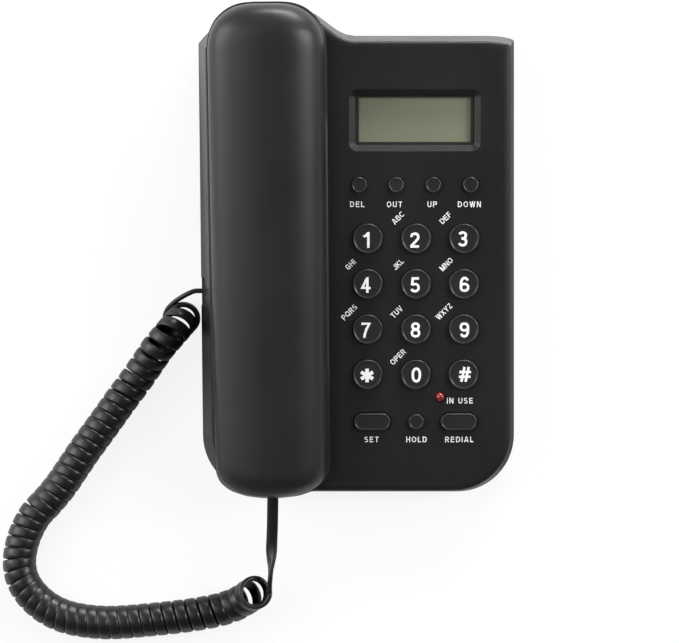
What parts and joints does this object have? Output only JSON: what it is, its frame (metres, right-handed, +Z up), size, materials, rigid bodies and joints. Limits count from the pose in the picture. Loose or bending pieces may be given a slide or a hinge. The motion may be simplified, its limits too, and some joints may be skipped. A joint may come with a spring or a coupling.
{
  "type": "corded telephone",
  "caption": "Corded desk telephone with a sloped base, number keys, a display, a handset in its cradle and a curly cord.",
  "frame": {"origin": "on the table, below the middle of the telephone without its cord", "axes": "+X from the handset to the keys, +Y to the back edge, +Z up"},
  "size_m": [0.2175, 0.2684, 0.0689],
  "materials": {
    "housing": "fine satin, black",
    "cover": "matt, black",
    "handset": "fine satin, black",
    "key": "semi-gloss, black",
    "window": "clear, flat",
    "display": "blank olive grey liquid crystal",
    "holder": "moulded, off-white",
    "board": "green laminate",
    "silicone": "moulded, grey",
    "lamp": "translucent red",
    "sounder": "rolled",
    "steel": "zinc plated",
    "rubber": "matt, black",
    "cord": "semi-gloss vinyl, black",
    "plug": "clear moulded",
    "socket": "moulded, black"
  },
  "bodies": {
    "base": {"top_case": "housing", "bottom_cover": "cover", "display_window": "window", "display_panel": "display", "display_holder": "holder", "main_board": "board", "key_membrane": "silicone", "in_use_led": "lamp", "ringer": "sounder", "hook_switch": "socket", "ballast_plate": "steel", "base_jack": "socket", "line_jack": "socket", "foot_1": "rubber", "foot_2": "rubber", "foot_3": "rubber", "foot_4": "rubber", "case_screw_1": "steel", "case_screw_2": "steel", "case_screw_3": "steel", "case_screw_4": "steel", "board_screw_1": "steel", "board_screw_2": "steel", "hook_spring": "steel", "base_plug": "plug", "base_lead": "cord", "curly_cord": "cord"},
    "handset": {"handset_shell": "handset", "handset_face": "handset", "receiver": "steel", "microphone": "steel", "microphone_boot": "rubber", "handset_jack": "socket", "handset_weight": "steel", "handset_screw_1": "steel", "handset_screw_2": "steel", "handset_plug": "plug", "handset_lead": "cord"},
    "hook": {"hook_plunger": "key"},
    "key_1": {"key_1": "key"},
    "key_2": {"key_2": "key"},
    "key_3": {"key_3": "key"},
    "key_4": {"key_4": "key"},
    "key_5": {"key_5": "key"},
    "key_6": {"key_6": "key"},
    "key_7": {"key_7": "key"},
    "key_8": {"key_8": "key"},
    "key_9": {"key_9": "key"},
    "key_star": {"key_star": "key"},
    "key_0": {"key_0": "key"},
    "key_hash": {"key_hash": "key"},
    "key_del": {"key_del": "key"},
    "key_out": {"key_out": "key"},
    "key_up": {"key_up": "key"},
    "key_down": {"key_down": "key"},
    "key_set": {"key_set": "key"},
    "key_hold": {"key_hold": "key"},
    "key_redial": {"key_redial": "key"}
  },
  "joints": [
    {"name": "handset_lift", "type": "slide", "parent": "base", "child": "handset", "axis": [0, -0.1374, 0.9905], "range_m": [0, 0.08]},
    {"name": "hook_rise", "type": "slide", "parent": "base", "child": "hook", "axis": [0, -0.1374, 0.9905], "range_m": [0, 0.005], "stiffness_N_per_m": 50, "springref_m": 0.008, "deforming": ["hook_spring"]},
    {"name": "key_1_press", "type": "slide", "parent": "base", "child": "key_1", "axis": [0, 0.1374, -0.9905], "range_m": [0, 0.0012], "stiffness_N_per_m": 150},
    {"name": "key_2_press", "type": "slide", "parent": "base", "child": "key_2", "axis": [0, 0.1374, -0.9905], "range_m": [0, 0.0012], "stiffness_N_per_m": 150},
    {"name": "key_3_press", "type": "slide", "parent": "base", "child": "key_3", "axis": [0, 0.1374, -0.9905], "range_m": [0, 0.0012], "stiffness_N_per_m": 150},
    {"name": "key_4_press", "type": "slide", "parent": "base", "child": "key_4", "axis": [0, 0.1374, -0.9905], "range_m": [0, 0.0012], "stiffness_N_per_m": 150},
    {"name": "key_5_press", "type": "slide", "parent": "base", "child": "key_5", "axis": [0, 0.1374, -0.9905], "range_m": [0, 0.0012], "stiffness_N_per_m": 150},
    {"name": "key_6_press", "type": "slide", "parent": "base", "child": "key_6", "axis": [0, 0.1374, -0.9905], "range_m": [0, 0.0012], "stiffness_N_per_m": 150},
    {"name": "key_7_press", "type": "slide", "parent": "base", "child": "key_7", "axis": [0, 0.1374, -0.9905], "range_m": [0, 0.0012], "stiffness_N_per_m": 150},
    {"name": "key_8_press", "type": "slide", "parent": "base", "child": "key_8", "axis": [0, 0.1374, -0.9905], "range_m": [0, 0.0012], "stiffness_N_per_m": 150},
    {"name": "key_9_press", "type": "slide", "parent": "base", "child": "key_9", "axis": [0, 0.1374, -0.9905], "range_m": [0, 0.0012], "stiffness_N_per_m": 150},
    {"name": "key_star_press", "type": "slide", "parent": "base", "child": "key_star", "axis": [0, 0.1374, -0.9905], "range_m": [0, 0.0012], "stiffness_N_per_m": 150},
    {"name": "key_0_press", "type": "slide", "parent": "base", "child": "key_0", "axis": [0, 0.1374, -0.9905], "range_m": [0, 0.0012], "stiffness_N_per_m": 150},
    {"name": "key_hash_press", "type": "slide", "parent": "base", "child": "key_hash", "axis": [0, 0.1374, -0.9905], "range_m": [0, 0.0012], "stiffness_N_per_m": 150},
    {"name": "key_del_press", "type": "slide", "parent": "base", "child": "key_del", "axis": [0, 0.1374, -0.9905], "range_m": [0, 0.0012], "stiffness_N_per_m": 150},
    {"name": "key_out_press", "type": "slide", "parent": "base", "child": "key_out", "axis": [0, 0.1374, -0.9905], "range_m": [0, 0.0012], "stiffness_N_per_m": 150},
    {"name": "key_up_press", "type": "slide", "parent": "base", "child": "key_up", "axis": [0, 0.1374, -0.9905], "range_m": [0, 0.0012], "stiffness_N_per_m": 150},
    {"name": "key_down_press", "type": "slide", "parent": "base", "child": "key_down", "axis": [0, 0.1374, -0.9905], "range_m": [0, 0.0012], "stiffness_N_per_m": 150},
    {"name": "key_set_press", "type": "slide", "parent": "base", "child": "key_set", "axis": [0, 0.1374, -0.9905], "range_m": [0, 0.0012], "stiffness_N_per_m": 150},
    {"name": "key_hold_press", "type": "slide", "parent": "base", "child": "key_hold", "axis": [0, 0.1374, -0.9905], "range_m": [0, 0.0012], "stiffness_N_per_m": 150},
    {"name": "key_redial_press", "type": "slide", "parent": "base", "child": "key_redial", "axis": [0, 0.1374, -0.9905], "range_m": [0, 0.0012], "stiffness_N_per_m": 150}
  ],
  "couplings": [
    {"joint": "hook_rise", "follows": "handset_lift", "ratio": 0.0625}
  ]
}
